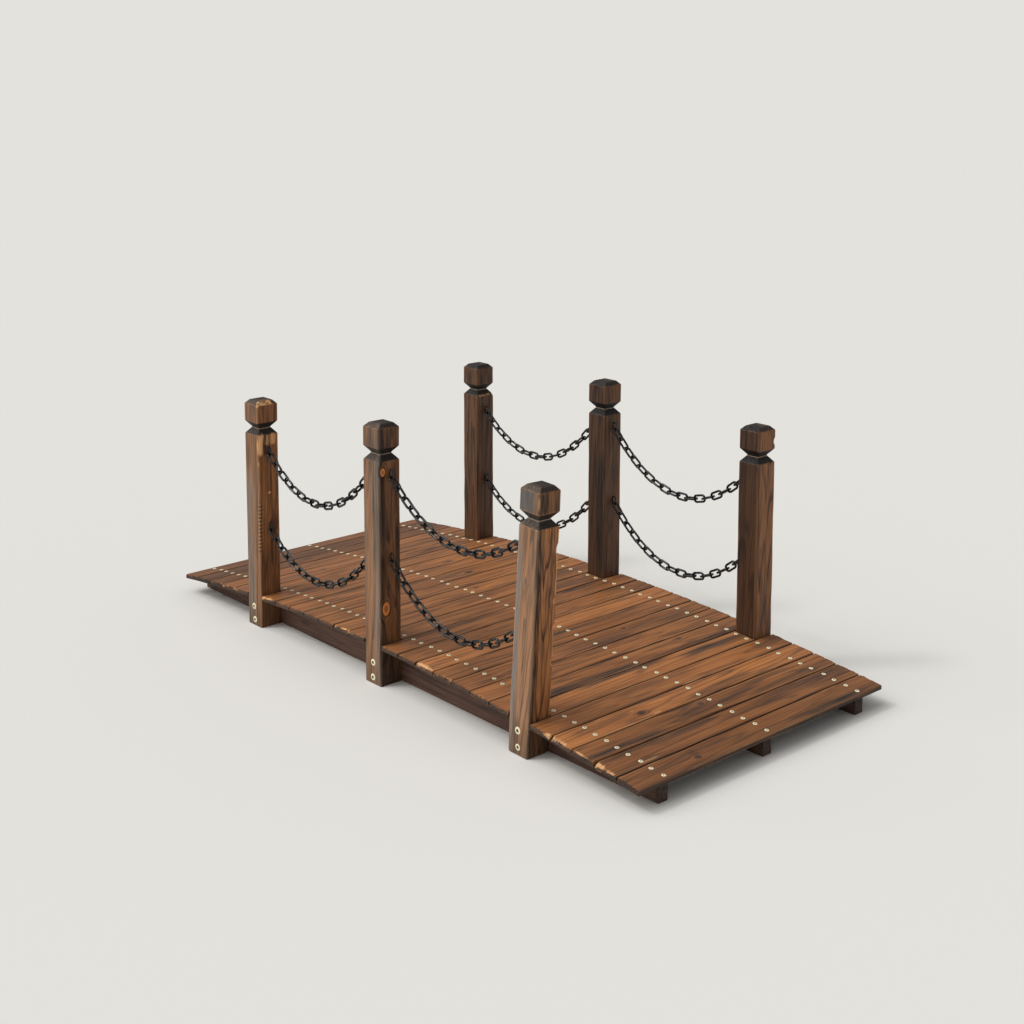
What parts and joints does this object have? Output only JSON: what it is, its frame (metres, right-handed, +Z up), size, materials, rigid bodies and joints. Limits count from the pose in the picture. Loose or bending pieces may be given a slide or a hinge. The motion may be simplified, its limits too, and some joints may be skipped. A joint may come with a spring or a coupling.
{
  "type": "wooden footbridge",
  "caption": "Small arched garden footbridge in stained softwood: cross planks on three stringers, square capped posts and hanging chain handrails.",
  "frame": {"origin": "on the ground under the middle of the bridge", "axes": "+X along the walk, towards the end that is near in the picture; +Z up"},
  "size_m": [1.4946, 0.6801, 0.5365],
  "materials": {
    "plank_wood": "satin",
    "stringer_wood": "matte",
    "post_wood": "satin",
    "chain_steel": "satin"
  },
  "bodies": {
    "root": {"plank_01": "plank_wood", "plank_02": "plank_wood", "plank_03": "plank_wood", "plank_04": "plank_wood", "plank_05": "plank_wood", "plank_06": "plank_wood", "plank_07": "plank_wood", "plank_08": "plank_wood", "plank_09": "plank_wood", "plank_10": "plank_wood", "plank_11": "plank_wood", "plank_12": "plank_wood", "plank_13": "plank_wood", "plank_14": "plank_wood", "plank_15": "plank_wood", "plank_16": "plank_wood", "plank_17": "plank_wood", "plank_18": "plank_wood", "plank_19": "plank_wood", "plank_20": "plank_wood", "plank_21": "plank_wood", "plank_22": "plank_wood", "plank_23": "plank_wood", "plank_24": "plank_wood", "plank_25": "plank_wood", "plank_26": "plank_wood", "plank_27": "plank_wood", "stringer_right": "stringer_wood", "stringer_centre": "stringer_wood", "stringer_left": "stringer_wood", "post_right_1": "post_wood", "post_right_2": "post_wood", "post_right_3": "post_wood", "post_left_1": "post_wood", "post_left_2": "post_wood", "post_left_3": "post_wood", "chain_right_upper_1": "chain_steel", "chain_right_upper_2": "chain_steel", "chain_right_lower_1": "chain_steel", "chain_right_lower_2": "chain_steel", "chain_left_upper_1": "chain_steel", "chain_left_upper_2": "chain_steel", "chain_left_lower_1": "chain_steel", "chain_left_lower_2": "chain_steel"}
  },
  "joints": []
}
